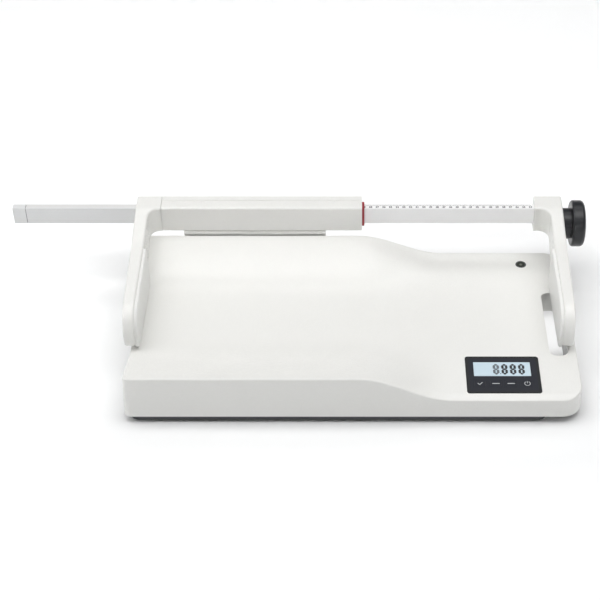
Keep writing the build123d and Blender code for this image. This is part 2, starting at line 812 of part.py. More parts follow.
with BuildPart() as weighing_board:
    slab(
        board_x - board_length / 2, board_x + board_length / 2,
        board_y - board_width / 2, board_y + board_width / 2,
        base_top_z + board_stand, base_top_z + board_stand + board_thickness, door_corner_r,
    )
weighing_board.part.label = "weighing_board"
export_step(weighing_board.part, "parts/weighing_board.step")

# ---- Rail: a hollow flat bar with a ruler strip let into its top --------------
strip_top_z = rail_top_z - strip_recess
strip_bottom_z = strip_top_z - strip_height
with BuildPart() as rail:
    with BuildSketch(side(rail_left_x)) as section:
        with Locations((rail_y, rail_z)):
            RectangleRounded(rail_depth, rail_height, rail_corner_r)
            RectangleRounded(
                rail_depth - 2 * rail_wall, rail_height - 2 * rail_wall, rail_inner_r,
                mode=Mode.SUBTRACT,
            )
    extrude(section.sketch, amount=rail_right_x - rail_left_x)
    slab(
        rail_left_x - overshoot, rail_right_x,
        rail_y - strip_width / 2 - strip_fit, rail_y + strip_width / 2 + strip_fit,
        strip_bottom_z, rail_top_z + overshoot, mode=Mode.SUBTRACT,
    )
rail.part.label = "rail"
export_step(rail.part, "parts/rail.step")

with BuildPart() as ruler_strip:
    slab(
        rail_left_x, rail_right_x, rail_y - strip_width / 2, rail_y + strip_width / 2,
        strip_bottom_z, strip_top_z,
    )
ruler_strip.part.label = "ruler_strip"
export_step(ruler_strip.part, "parts/ruler_strip.step")

with BuildPart() as rail_end_cap:
    with BuildSketch(side(cap_left_x)) as section:
        with Locations((rail_y, rail_z)):
            RectangleRounded(rail_depth, rail_height, rail_corner_r)
    extrude(section.sketch, amount=rail_cap - cap_seam)
    fillet(rail_end_cap.faces().sort_by(Axis.X)[0].edges(), cap_round)
    with BuildSketch(side(rail_left_x - cap_seam)) as shoulder:
        with Locations((rail_y, rail_z)):
            RectangleRounded(
                rail_depth - 2 * cap_seam_depth, rail_height - 2 * cap_seam_depth, rail_inner_r,
            )
    extrude(shoulder.sketch, amount=cap_seam)
    with BuildSketch(side(rail_left_x)) as plug:
        with Locations((rail_y, rail_z)):
            RectangleRounded(
                rail_depth - 2 * (rail_wall + plug_fit), rail_height - 2 * (rail_wall + plug_fit),
                rail_inner_r,
            )
    extrude(plug.sketch, amount=plug_length)
rail_end_cap.part.label = "rail_end_cap"
export_step(rail_end_cap.part, "parts/rail_end_cap.step")


# ---- Rod housing: two half shells, glides inside, a reading ring at the end ---
def passage(x0, x1, gap):
    """Cuts the way that the rail slides through, with a gap all round it."""
    with BuildSketch(side(x0)) as way:
        with Locations((rail_y, rail_z)):
            RectangleRounded(rail_depth + 2 * gap, rail_height + 2 * gap, rail_corner_r)
    extrude(way.sketch, amount=x1 - x0, mode=Mode.SUBTRACT)


housing_mid_z = housing_bottom_z + housing_height / 2
for half_name, back in (("front", False), ("back", True)):
    with BuildPart() as housing_half:
        with BuildSketch(side(housing_left_x)) as section:
            with Locations((housing_middle_y, housing_mid_z)):
                RectangleRounded(housing_depth, housing_height, housing_round)
                RectangleRounded(
                    housing_depth - 2 * housing_wall, housing_height - 2 * housing_wall,
                    housing_inner_r, mode=Mode.SUBTRACT,
                )
        extrude(section.sketch, amount=housing_right_x - housing_left_x)
        for z in (housing_bottom_z, housing_top_z):
            slab(
                housing_left_x, housing_right_x,
                housing_seam_y - housing_seam / 2, housing_seam_y + housing_seam / 2,
                z - housing_seam_depth, z + housing_seam_depth, mode=Mode.SUBTRACT,
            )
        kept_side = Keep.TOP if back else Keep.BOTTOM
        split(bisect_by=Plane(
            origin=(0, housing_seam_y - middle_y, 0), z_dir=(0, 1, 0)), keep=kept_side)
    housing_half.part.label = f"housing_{half_name}"
    export_step(housing_half.part, f"parts/housing_{half_name}.step")

glide_places = (
    ("left", housing_left_x),
    ("right", housing_right_x - glide_length),
)
for glide_name, x in glide_places:
    with BuildPart() as glide:
        with BuildSketch(side(x)) as block:
            with Locations((housing_middle_y, housing_mid_z)):
                RectangleRounded(
                    housing_depth - 2 * housing_wall - 2 * glide_play,
                    housing_height - 2 * housing_wall - 2 * glide_play, housing_inner_r,
                )
        extrude(block.sketch, amount=glide_length)
        passage(x, x + glide_length, glide_gap)
    glide.part.label = f"glide_{glide_name}"
    export_step(glide.part, f"parts/glide_{glide_name}.step")

with BuildPart() as reading_ring:
    with BuildSketch(side(housing_right_x)) as section:
        with Locations((rail_y, rail_z)):
            RectangleRounded(
                rail_depth + 2 * ring_lip, rail_height + 2 * ring_lip, ring_corner_r
            )
    extrude(section.sketch, amount=ring_length)
    passage(housing_right_x, housing_right_x + ring_length, glide_gap)
    fillet(reading_ring.faces().sort_by(Axis.X)[-1].outer_wire().edges(), ring_round)
reading_ring.part.label = "reading_ring"
export_step(reading_ring.part, "parts/reading_ring.step")

with BuildPart() as rod_bracket:
    slab(
        bracket_left_x, bracket_right_x, housing_front_y, housing_back_y - shelf_margin,
        housing_bottom_z - shelf_thickness, housing_bottom_z,
    )
    slab(
        bracket_left_x, bracket_right_x, housing_front_y, housing_front_y + bracket_wall,
        housing_bottom_z - bracket_lip, housing_bottom_z,
    )
    slab(
        bracket_left_x, bracket_right_x, plate_front_y, plate_back_y,
        bracket_bottom_z, housing_bottom_z,
    )
    slab(
        bracket_left_x, bracket_right_x, rim_depth - overshoot, plate_front_y,
        bracket_bottom_z, bracket_step_z,
    )
    for x in bracket_screw_x:
        slab(
            x + rib_offset, x + rib_offset + bracket_wall,
            plate_back_y, housing_back_y - rib_margin,
            housing_bottom_z - shelf_thickness - rib_height, housing_bottom_z - shelf_thickness,
        )
    extrude(shell_outline(0), amount=shell_height, taper=draft_angle, mode=Mode.SUBTRACT)
    with BuildSketch(front(plate_back_y)) as screw_holes:
        with Locations([(x, bracket_screw_z) for x in bracket_screw_x]):
            Circle((screw_diameter + screw_play) / 2)
    extrude(screw_holes.sketch, amount=plate_back_y - rim_depth, mode=Mode.SUBTRACT)
rod_bracket.part.label = "rod_bracket"
export_step(rod_bracket.part, "parts/rod_bracket.step")

with BuildPart() as bracket_screws:
    for x in bracket_screw_x:
        with BuildSketch(front(plate_back_y)) as shank:
            with Locations((x, bracket_screw_z)):
                Circle((screw_diameter - screw_fit) / 2)
        extrude(shank.sketch, amount=plate_back_y - rim_depth + bracket_bite)
        with BuildSketch(front(plate_back_y)) as head:
            with Locations((x, bracket_screw_z)):
                Circle(screw_head_d / 2)
        extrude(head.sketch, amount=-screw_head_height)
bracket_screws.part.label = "bracket_screws"
export_step(bracket_screws.part, "parts/bracket_screws.step")


# ---- Arms: the head stop is fixed to the housing, the foot stop to the rail ---
def arm_outline(x, grow=0.0):
    """Side view of an arm: a root behind the rim, a neck over it and a broad lobe."""
    low = arm_low_z - grow
    with BuildSketch(side(x)) as outline:
        with BuildLine():
            FilletPolyline(
                (housing_back_y, housing_top_z),
                (housing_front_y, housing_top_z),
                (arm_tip_y + arm_elbow, arm_tip_z + arm_elbow_rise),
                (arm_tip_y, arm_tip_z),
                (arm_tip_y, low),
                (arm_tip_y + arm_chin, low),
                (arm_throat_y, housing_bottom_z - arm_throat_rise),
                (housing_front_y + arm_root, housing_bottom_z),
                (housing_back_y, housing_bottom_z),
                radius=arm_bends,
                close=True,
            )
        make_face()
    return outline.sketch


def arm_body(inner_x, hub_x):
    """An arm with its hub: its side view, cut to a plan that tapers towards the tip."""
    outward = 1 if inner_x > hub_x else -1
    root_x = inner_x + outward * arm_root_t
    tip_x = inner_x + outward * arm_tip_t
    behind_y = housing_back_y + overshoot
    ahead_y = arm_tip_y - overshoot
    with BuildPart() as body:
        with BuildSketch(level(0)) as plan:
            with BuildLine():
                Polyline(
                    (root_x, behind_y), (root_x, housing_back_y), (tip_x, arm_tip_y),
                    (tip_x, ahead_y), (inner_x, ahead_y), (inner_x, behind_y),
                    close=True,
                )
            make_face()
            with Locations(((inner_x + hub_x) / 2, (housing_front_y + behind_y) / 2)):
                Rectangle(abs(inner_x - hub_x), behind_y - housing_front_y)
            gusset_x = inner_x - outward * arm_gusset_r
            gusset_y = housing_front_y - arm_gusset_r
            with Locations(((gusset_x + inner_x) / 2, (gusset_y + housing_front_y) / 2)):
                Rectangle(arm_gusset_r, arm_gusset_r)
            with Locations((gusset_x, gusset_y)):
                Circle(arm_gusset_r, mode=Mode.SUBTRACT)
        extrude(plan.sketch, amount=housing_top_z + overshoot)
        extrude(
            arm_outline(min(root_x, hub_x)), amount=abs(root_x - hub_x), mode=Mode.INTERSECT
        )
        nothing = 0.01
        tip_line = arm_tip_y - middle_y + nothing
        back_line = housing_back_y - middle_y - nothing
        rounded = []
        for edge in body.edges():
            box = edge.bounding_box()
            at_seam = abs(edge.center().X - (hub_x - middle_x)) < nothing
            along_x = box.size.X > nothing and box.size.Y + box.size.Z < nothing
            upright = box.size.X + box.size.Y < nothing
            between = tip_line < box.min.Y < back_line
            if not (at_seam or along_x or (upright and between)):
                rounded.append(edge)
        fillet(rounded, arm_round)
    return body.part


with BuildPart() as head_arm:
    add(arm_body(head_arm_x, housing_left_x - seam_gap))
    with BuildSketch(side(housing_left_x - seam_gap)) as spigot:
        with Locations((housing_middle_y, housing_mid_z)):
            RectangleRounded(
                housing_depth - 2 * seam_depth, housing_height - 2 * seam_depth,
                housing_round - seam_depth,
            )
    extrude(spigot.sketch, amount=seam_gap)
    passage(head_arm_x - arm_root_t, housing_left_x, hub_gap)
head_arm.part.label = "head_arm"
export_step(head_arm.part, "parts/head_arm.step")

with BuildPart() as foot_arm:
    add(arm_body(foot_arm_x, foot_hub_x))
    passage(foot_hub_x, rail_right_x, rail_fit)
    with BuildSketch(side(foot_hub_x)) as bolt_way:
        with Locations((knob_y, knob_z)):
            Circle(bolt_diameter / 2 + bolt_gap)
    extrude(bolt_way.sketch, amount=arm_outer_x - foot_hub_x, mode=Mode.SUBTRACT)
    passage(rail_right_x, bolt_tip_x, rail_fit - shoe_inset)
foot_arm.part.label = "foot_arm"
export_step(foot_arm.part, "parts/foot_arm.step")

with BuildPart() as clamp_shoe:
    with BuildSketch(side(rail_right_x)) as section:
        with Locations((rail_y, rail_z)):
            RectangleRounded(
                rail_depth - 2 * shoe_inset, rail_height - 2 * shoe_inset, rail_inner_r
            )
    extrude(section.sketch, amount=shoe_thickness)
clamp_shoe.part.label = "clamp_shoe"
export_step(clamp_shoe.part, "parts/clamp_shoe.step")

pad_places = (
    ("head_pad", head_arm_x, pad_thickness),
    ("foot_pad", foot_arm_x, -pad_thickness),
)
for pad_name, x, depth in pad_places:
    pad_outline = offset(arm_outline(x, pad_drop + pad_inset), amount=-pad_inset)
    with BuildPart() as pad:
        extrude(pad_outline, amount=depth)
        slab(
            x - pad_thickness, x + pad_thickness, pad_back_y, housing_back_y,
            0, housing_top_z, mode=Mode.SUBTRACT,
        )
        touched_face = pad.faces().sort_by(Axis.X)[-1 if depth > 0 else 0]
        fillet(touched_face.edges(), pad_round)
    pad.part.label = pad_name
    export_step(pad.part, f"parts/{pad_name}.step")

# ---- Clamp knob: a round head on a round neck, with its bolt ------------------
with BuildPart() as clamp_knob:
    with BuildSketch(side(knob_neck_x)) as neck:
        with Locations((knob_y, knob_z)):
            Circle(knob_neck_d / 2)
    extrude(neck.sketch, amount=knob_neck)
    with BuildSketch(side(knob_neck_x + knob_neck)) as head:
        with Locations((knob_y, knob_z)):
            Circle(knob_diameter / 2)
    extrude(head.sketch, amount=knob_head)
    head_faces = clamp_knob.faces().filter_by(Axis.X).sort_by(Axis.X)
    fillet(head_faces[-2].outer_wire().edges(), knob_round)
    fillet(clamp_knob.faces().filter_by(Axis.X).sort_by(Axis.X)[-1].edges(), knob_face_round)
    with BuildSketch(side(knob_neck_x + knob_neck - knob_groove)) as groove:
        with Locations((knob_y, knob_z)):
            Circle(knob_neck_d / 2 + overshoot)
            Circle(knob_neck_d / 2 - knob_groove_depth, mode=Mode.SUBTRACT)
    extrude(groove.sketch, amount=knob_groove, mode=Mode.SUBTRACT)
    with BuildSketch(side(knob_neck_x)) as socket:
        with Locations((knob_y, knob_z)):
            Circle(bolt_diameter / 2)
    extrude(socket.sketch, amount=knob_neck, mode=Mode.SUBTRACT)
clamp_knob.part.label = "clamp_knob"
export_step(clamp_knob.part, "parts/clamp_knob.step")

with BuildPart() as knob_bolt:
    with BuildSketch(side(bolt_tip_x)) as shank:
        with Locations((knob_y, knob_z)):
            Circle(bolt_diameter / 2)
    extrude(shank.sketch, amount=knob_neck_x + knob_neck - bolt_tip_x)
knob_bolt.part.label = "knob_bolt"
export_step(knob_bolt.part, "parts/knob_bolt.step")
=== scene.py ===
import bpy
import bmesh
from math import atan, cos, pi, radians, sin
from mathutils import Matrix, Vector


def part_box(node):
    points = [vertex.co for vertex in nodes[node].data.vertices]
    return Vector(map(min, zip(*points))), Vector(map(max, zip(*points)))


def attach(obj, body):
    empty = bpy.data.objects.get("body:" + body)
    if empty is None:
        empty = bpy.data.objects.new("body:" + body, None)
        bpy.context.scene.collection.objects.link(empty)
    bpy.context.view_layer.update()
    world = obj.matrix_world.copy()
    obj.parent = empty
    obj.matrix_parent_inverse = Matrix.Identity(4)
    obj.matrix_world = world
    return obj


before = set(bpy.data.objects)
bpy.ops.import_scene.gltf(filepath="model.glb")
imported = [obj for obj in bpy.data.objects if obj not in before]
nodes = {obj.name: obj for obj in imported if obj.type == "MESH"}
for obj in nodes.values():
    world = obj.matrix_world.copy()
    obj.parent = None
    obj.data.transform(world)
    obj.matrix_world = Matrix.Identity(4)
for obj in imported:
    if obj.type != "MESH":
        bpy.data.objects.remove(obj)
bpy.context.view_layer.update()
scene = bpy.context.scene
mm = 0.001

# ---- Camera and studio -------------------------------------------------------
# A long lens looks down on the scale, square to its front, as for a catalogue. The
# floor and the room are plain white. Broad soft boxes light the scale from above and
# leave its front in a little shade, which narrow strips and cards fill in.
shell_low, shell_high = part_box("tray_shell")
shell_length = shell_high.x - shell_low.x
shell_depth = shell_high.y - shell_low.y
shell_flare = 3.564 * mm
tray_x = (shell_low.x + shell_high.x) / 2
tray_y = (shell_low.y + shell_high.y) / 2
rim_y = shell_low.y + shell_flare

camera_data = bpy.data.cameras.new("camera")
camera = bpy.data.objects.new("camera", camera_data)
scene.collection.objects.link(camera)
scene.camera = camera
camera_back = 1.3764
camera_height = 1.4187
camera_down = radians(41)
camera.location = (tray_x, rim_y - camera_back, camera_height)
camera.rotation_euler = (pi / 2 - camera_down, 0, 0)
camera_data.sensor_width = 36
camera_data.lens = 85.2
camera_data.shift_x = -0.089
camera_data.clip_end = 50
scene.view_settings.view_transform = "Standard"


def soft_box(name, place, aim, size, watts, spread=180):
    """A rectangular lamp at place that faces aim; a grid narrows its spread, in degrees."""
    data = bpy.data.lights.new(name, "AREA")
    data.shape = "RECTANGLE"
    data.size, data.size_y = size
    data.energy = watts
    data.spread = radians(spread)
    lamp = bpy.data.objects.new(name, data)
    scene.collection.objects.link(lamp)
    lamp.location = place
    lamp.rotation_euler = (Vector(aim) - Vector(place)).to_track_quat("-Z", "Y").to_euler()


scale_middle = (0, 0, 0)
soft_box("overhead_box", (0, -0.1, 2.4), scale_middle, size=(3.6, 1.4), watts=48)
soft_box("left_box", (-2, -0.2, 1.5), scale_middle, size=(1.2, 1.6), watts=10)
soft_box("right_box", (2, -0.2, 1.5), scale_middle, size=(1.2, 1.6), watts=3)
soft_box("front_strip", (0, -1.4, 1.9), (0, 0, 0.05), size=(3.2, 0.12), watts=5)
soft_box("front_card", (0.85, -1.6, 0.95), (0.4, 0.15, 0.1), size=(0.5, 0.25), watts=1)
soft_box("rod_strip", (0, -1.4, 0.5), (0, 0.14, 0.115), size=(1.2, 0.04), watts=0.052, spread=10)
soft_box("rear_box", (0, 1.6, 2.4), (0, 1.3, 0), size=(5, 0.8), watts=22)


class Wire:
    """A shader value. Sums and products of it turn into Math nodes."""

    def __init__(self, paint, socket):
        self.paint = paint
        self.socket = socket

    def math(self, operation, a, b=0.0):
        node = self.paint.node("ShaderNodeMath", {"operation": operation}, {0: a, 1: b})
        return Wire(self.paint, node.outputs[0])

    def __add__(self, other):
        return self.math("ADD", self, other)

    def __radd__(self, other):
        return self.math("ADD", other, self)

    def __sub__(self, other):
        return self.math("SUBTRACT", self, other)

    def __rsub__(self, other):
        return self.math("SUBTRACT", other, self)

    def __mul__(self, other):
        return self.math("MULTIPLY", self, other)

    def __rmul__(self, other):
        return self.math("MULTIPLY", other, self)

    def sine(self):
        return self.math("SINE", self)

    def size(self):
        """The value without its sign."""
        return self.math("ABSOLUTE", self)

    def larger(self, other):
        return self.math("MAXIMUM", self, other)


class Palette:
    """Nodes that end in a shader, with values that vary from place to place."""

    def __init__(self, tree, shader, coordinate):
        self.tree = tree
        self.shader = tree.nodes[shader]
        self.place = Wire(self, self.node("ShaderNodeTexCoord").outputs[coordinate])

    def node(self, kind, settings=(), sockets=()):
        """Adds one node, with its settings and what feeds its sockets."""
        node = self.tree.nodes.new(kind)
        for name, value in dict(settings).items():
            setattr(node, name, value)
        for name, value in dict(sockets).items():
            self.feed(node.inputs[name], value)
        return node

    def feed(self, socket, value):
        if isinstance(value, Wire):
            self.tree.links.new(value.socket, socket)
        else:
            socket.default_value = value

    def vary(self, socket, value):
        """Feeds a value that varies over the surface to the shader."""
        self.feed(self.shader.inputs[socket], value)

    def axis(self, name):
        """One coordinate of the place."""
        split = self.node("ShaderNodeSeparateXYZ", sockets={0: self.place})
        return Wire(self, split.outputs[name])

    def stretched(self, factors):
        """The place with each of its axes scaled."""
        node = self.node(
            "ShaderNodeVectorMath", {"operation": "MULTIPLY"}, {0: self.place, 1: factors}
        )
        return Wire(self, node.outputs[0])

    def noise(self, scale, detail=2, factors=None):
        """A cloudy value from 0 to 1, drawn out into lines where factors are given."""
        vector = self.stretched(factors) if factors else self.place
        node = self.node(
            "ShaderNodeTexNoise", sockets={"Vector": vector, "Scale": scale, "Detail": detail}
        )
        return Wire(self, node.outputs[0])

    def cell_edges(self, scale):
        """How far a place is from the nearest edge between two cells."""
        node = self.node(
            "ShaderNodeTexVoronoi", {"feature": "DISTANCE_TO_EDGE"},
            {"Vector": self.place, "Scale": scale},
        )
        return Wire(self, node.outputs["Distance"])

    def ramp(self, value, low, high):
        """0 below low, 1 above high, smooth between them."""
        node = self.node(
            "ShaderNodeMapRange", {"interpolation_type": "SMOOTHSTEP"},
            {"Value": value, "From Min": low, "From Max": high},
        )
        return Wire(self, node.outputs[0])

    def blend(self, factor, first, second):
        """A colour between two colours."""
        node = self.node("ShaderNodeMix", {"data_type": "RGBA"}, {0: factor, 6: first, 7: second})
        return Wire(self, node.outputs[2])

    def grain(self, height, distance):
        """Raises the surface by height times distance."""
        bump = self.node("ShaderNodeBump", sockets={"Height": height, "Distance": distance})
        self.vary("Normal", Wire(self, bump.outputs[0]))


class Paint(Palette):
    """A material: a principled shader with values that vary over the surface."""

    def __init__(self, name, **constants):
        self.material = bpy.data.materials.new(name)
        self.material.use_nodes = True
        super().__init__(self.material.node_tree, "Principled BSDF", "Object")
        for socket, value in constants.items():
            self.shader.inputs[socket.replace("_", " ")].default_value = value


def rgb(red, green, blue):
    return (red, green, blue, 1.0)


def moulded(name, light, shade, roughness, fineness, depth, **constants):
    """A moulded plastic: a faint cloudiness, and the grain of its mould."""
    paint = Paint(name, **constants)
    clouds = paint.noise(7, 3)
    specks = paint.noise(fineness)
    paint.colour = paint.blend(clouds, light, shade)
    paint.vary("Base Color", paint.colour)
    paint.vary("Roughness", roughness + (specks - 0.5) * 0.12 + (clouds - 0.5) * 0.05)
    paint.grain(specks, depth)
    return paint


def made_of(paint, *names):
    """Gives CAD pieces their material."""
    for name in names:
        for slot in nodes[name].material_slots:
            slot.material = paint.material


world = bpy.data.worlds.new("room")
scene.world = world
world.use_nodes = True
room = Palette(world.node_tree, "Background", "Generated")
above_horizon = room.ramp(room.axis("Z"), 0.03, 0.22)
horizon_grey = rgb(0.74, 0.75, 0.76)
ceiling_grey = rgb(0.09, 0.092, 0.094)
room.vary("Color", room.blend(above_horizon, horizon_grey, ceiling_grey))

floor_paint = Paint("floor_paint", Emission_Strength=1.0)
floor_clouds = floor_paint.noise(3)
floor_paint.vary(
    "Base Color",
    floor_paint.blend(floor_clouds, rgb(0.965, 0.97, 0.972), rgb(0.98, 0.982, 0.985)),
)
floor_paint.vary("Roughness", 0.85 + floor_paint.noise(40) * 0.1)

# The floor glows faintly outside the scale's own shadow, and more towards the horizon.
shadow_reach = 50 * mm
shadow_fade = 140 * mm
far_start = 0.8
far_end = 3
beside_tray = (floor_paint.axis("X") - tray_x).size() - shell_length / 2
before_tray = (floor_paint.axis("Y") - tray_y).size() - shell_depth / 2
off_tray = beside_tray.larger(before_tray - shadow_reach)
near_glow = floor_paint.ramp(off_tray, 0, shadow_fade) * 0.13
far_glow = floor_paint.ramp(off_tray, far_start, far_end) * 0.5
floor_paint.vary(
    "Emission Color", floor_paint.blend(near_glow + far_glow, rgb(0, 0, 0), rgb(1, 1, 1))
)

# A small card under the carrying slot lights the floor that is seen through it.
slot_x = tray_x + 290 * mm
under_slot_y = rim_y + 186 * mm
card_lift = 12 * mm
soft_box(
    "slot_card", (slot_x, under_slot_y, card_lift), (slot_x, under_slot_y, 0),
    size=(46 * mm, 102 * mm), watts=0.0115,
)

floor_half = 8
floor_corners = (
    (-floor_half, -floor_half, 0), (floor_half, -floor_half, 0),
    (floor_half, floor_half, 0), (-floor_half, floor_half, 0),
)
floor_mesh = bpy.data.meshes.new("floor")
floor_mesh.from_pydata(floor_corners, [], [(0, 1, 2, 3)])
floor_mesh.materials.append(floor_paint.material)
floor = bpy.data.objects.new("floor", floor_mesh)
scene.collection.objects.link(floor)

# ---- Base pan, battery door and feet -------------------------------------------
# The pan is a flat tub of dark ABS with a sparked grain, moulded in one shot. A small
# door slides over its batteries, and four steel studs with rubber soles screw into it.
dark_plastic = moulded(
    "dark_plastic", rgb(0.052, 0.054, 0.057), rgb(0.062, 0.064, 0.066),
    roughness=0.55, fineness=1600, depth=0.06 * mm,
)
made_of(dark_plastic, "base_pan", "battery_door")
rubber = moulded(
    "rubber", rgb(0.018, 0.018, 0.019), rgb(0.028, 0.028, 0.028),
    roughness=0.8, fineness=900, depth=0.08 * mm,
)

steel = Paint("steel", Metallic=1.0)
steel_lines = steel.noise(500, 3, (1, 1, 0.05))
steel.vary("Base Color", steel.blend(steel_lines, rgb(0.52, 0.52, 0.50), rgb(0.66, 0.66, 0.65)))
steel.vary("Roughness", 0.24 + steel_lines * 0.18)
steel.grain(steel_lines, 0.02 * mm)

corners = ("front_left", "front_right", "back_left", "back_right")
for corner in corners:
    made_of(rubber, "foot_sole_" + corner)
    made_of(steel, "foot_stud_" + corner)

# ---- Load cells and platform frame ----------------------------------------------
# Slotted bars of milled aluminium are screwed to the pan, one near each corner. They
# carry two cross beams on rubber buttons, with two spines between them.
aluminium = Paint("aluminium", Metallic=1.0)
mill_lines = aluminium.noise(320, 3, (0.06, 1, 1))
aluminium.vary(
    "Base Color", aluminium.blend(mill_lines, rgb(0.70, 0.70, 0.70), rgb(0.83, 0.83, 0.82))
)
aluminium.vary("Roughness", 0.3 + mill_lines * 0.2)
aluminium.grain(mill_lines, 0.03 * mm)
for corner in corners:
    made_of(aluminium, "load_cell_" + corner)
made_of(aluminium, "cross_beam_left", "cross_beam_right")
made_of(aluminium, "platform_spine_front", "platform_spine_back")
made_of(rubber, "load_buttons")
made_of(steel, "cell_screws", "platform_screws")

# ---- Weighing board and batteries ------------------------------------------------
# The board is green glass fibre with copper tracks under its lacquer. Six cells in
# printed sleeves lie in the pan between sprung steel contacts.
circuit_board = Paint("circuit_board")
tracks = circuit_board.ramp(circuit_board.cell_edges(420), 0.05, 0.09)
circuit_board.vary(
    "Base Color", circuit_board.blend(tracks, rgb(0.05, 0.20, 0.08), rgb(0.01, 0.09, 0.035))
)
circuit_board.vary("Roughness", 0.28 + tracks * 0.12)
circuit_board.grain(tracks, -0.03 * mm)
made_of(circuit_board, "weighing_board")

battery_sleeve = Paint("battery_sleeve")
bands_per_metre = 62
sleeve_black = rgb(0.02, 0.02, 0.022)
sleeve_gold = rgb(0.62, 0.36, 0.10)
bands = battery_sleeve.ramp((battery_sleeve.axis("X") * bands_per_metre).sine(), -0.1, 0.1)
sleeve_wear = battery_sleeve.noise(220, 3)
battery_sleeve.vary("Base Color", battery_sleeve.blend(bands, sleeve_black, sleeve_gold))
battery_sleeve.vary("Roughness", 0.22 + sleeve_wear * 0.14)
battery_sleeve.vary("Metallic", 0.25 + sleeve_wear * 0.3)
made_of(battery_sleeve, "batteries")
made_of(steel, "battery_contacts")

# ---- Tray shell -----------------------------------------------------------------
# One big injection-moulded cradle of warm white ABS, satin on its upper face. It is
# screwed to the platform frame, and the walls of its carrying slot get painted shade.
white_plastic = moulded(
    "white_plastic", rgb(0.84, 0.837, 0.81), rgb(0.825, 0.821, 0.794),
    roughness=0.27, fineness=1900, depth=0.022 * mm,
)
# Painted shade: a dark colour on the walls of the carrying slot, below the deck.
slot_y = rim_y + 148 * mm
slot_half_width = 13.5 * mm
slot_half_length = 61 * mm
slot_edge = 1 * mm
deck_z = 50 * mm
painted_shade_bottom = deck_z - 7 * mm
painted_shade_top = deck_z - 2 * mm
painted_slot_shade = rgb(0.30, 0.30, 0.285)
off_wall_x = (white_plastic.axis("X") - slot_x).size() - slot_half_width
off_wall_y = (white_plastic.axis("Y") - slot_y).size() - slot_half_length
within_slot = 1 - white_plastic.ramp(off_wall_x.larger(off_wall_y), 0, slot_edge)
below_deck = 1 - white_plastic.ramp(white_plastic.axis("Z"), painted_shade_bottom, painted_shade_top)
white_plastic.vary(
    "Base Color",
    white_plastic.blend(within_slot * below_deck, white_plastic.colour, painted_slot_shade),
)
made_of(white_plastic, "tray_shell")

# ---- Display panel ----------------------------------------------------------------
# A near-black film over a dark tub that holds the board. It has a clear window for the
# LCD, and four keys with steel domes under them, whose marks are printed on the film.
made_of(dark_plastic, "display_tub")
made_of(circuit_board, "display_board")
made_of(steel, "key_domes")

panel_film = Paint("panel_film", Specular_IOR_Level=0.38)
film_cloud = panel_film.noise(26, 3)
film_grain = panel_film.noise(2400)
panel_low, panel_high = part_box("display_panel")
panel_x = (panel_low.x + panel_high.x) / 2
panel_y = (panel_low.y + panel_high.y) / 2
border_x = 46.5 * mm
border_y = 30 * mm
border_edge = 1.5 * mm
off_middle_x = (panel_film.axis("X") - panel_x).size()
off_middle_y = (panel_film.axis("Y") - panel_y).size()
beyond_x = panel_film.ramp(off_middle_x, border_x, border_x + border_edge)
beyond_y = panel_film.ramp(off_middle_y, border_y, border_y + border_edge)
inner_film = panel_film.blend(film_cloud, rgb(0.010, 0.012, 0.020), rgb(0.013, 0.015, 0.023))
border_film = rgb(0.013, 0.014, 0.016)
panel_film.vary("Base Color", panel_film.blend(beyond_x + beyond_y, inner_film, border_film))
panel_film.vary("Roughness", 0.5 + (film_grain - 0.5) * 0.1)
panel_film.grain(film_grain, 0.012 * mm)
made_of(panel_film, "display_panel", "key_confirm", "key_hold", "key_mode", "key_power")

lcd_glass = Paint("lcd_glass", Coat_Weight=0.5, Coat_Roughness=0.05)
pixel_pitch = 0.5 * mm
pixel_wave = 2 * pi / pixel_pitch
pixel_rows = (lcd_glass.axis("Y") * pixel_wave).sine()
pixel_columns = (lcd_glass.axis("X") * pixel_wave).sine()
lattice = lcd_glass.ramp(pixel_rows * pixel_columns, -0.6, 0.9)
glass_tint = lcd_glass.noise(18) * 0.7 + lattice * 0.3
lcd_glass.vary(
    "Base Color", lcd_glass.blend(glass_tint, rgb(0.52, 0.665, 0.75), rgb(0.585, 0.70, 0.77))
)
lcd_glass.vary("Roughness", 0.16 + lattice * 0.08)
made_of(lcd_glass, "display_lcd")


def rectangle(x, y, half_width, half_height):
    """Outline of a rectangle around (x, y)."""
    return [
        (x - half_width, y - half_height), (x + half_width, y - half_height),
        (x + half_width, y + half_height), (x - half_width, y + half_height),
    ]


def arc(x, y, radius, start, end, steps):
    """Points of an arc around (x, y); angles in degrees."""
    angles = [radians(start + (end - start) * i / steps) for i in range(steps + 1)]
    return [(x + radius * cos(a), y + radius * sin(a)) for a in angles]


def stamp(bm, outline, thickness, surface):
    """Adds a flat print of an outline, a list of (x, y), on a surface."""
    under = [bm.verts.new(surface @ Vector((x, y, 0))) for x, y in outline]
    over = [bm.verts.new(surface @ Vector((x, y, thickness))) for x, y in outline]
    bm.faces.new(reversed(under))
    bm.faces.new(over)
    count = len(outline)
    for i in range(count):
        j = (i + 1) % count
        bm.faces.new((under[i], under[j], over[j], over[i]))


def piece(name, bm, body, paint, smooth=False):
    """Turns a bmesh into a named piece that moves with a body."""
    bmesh.ops.recalc_face_normals(bm, faces=bm.faces)
    mesh = bpy.data.meshes.new(name)
    bm.to_mesh(mesh)
    bm.free()
    mesh.materials.append(paint.material)
    if smooth:
        mesh.shade_smooth()
    obj = bpy.data.objects.new(name, mesh)
    scene.collection.objects.link(obj)
    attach(obj, body)


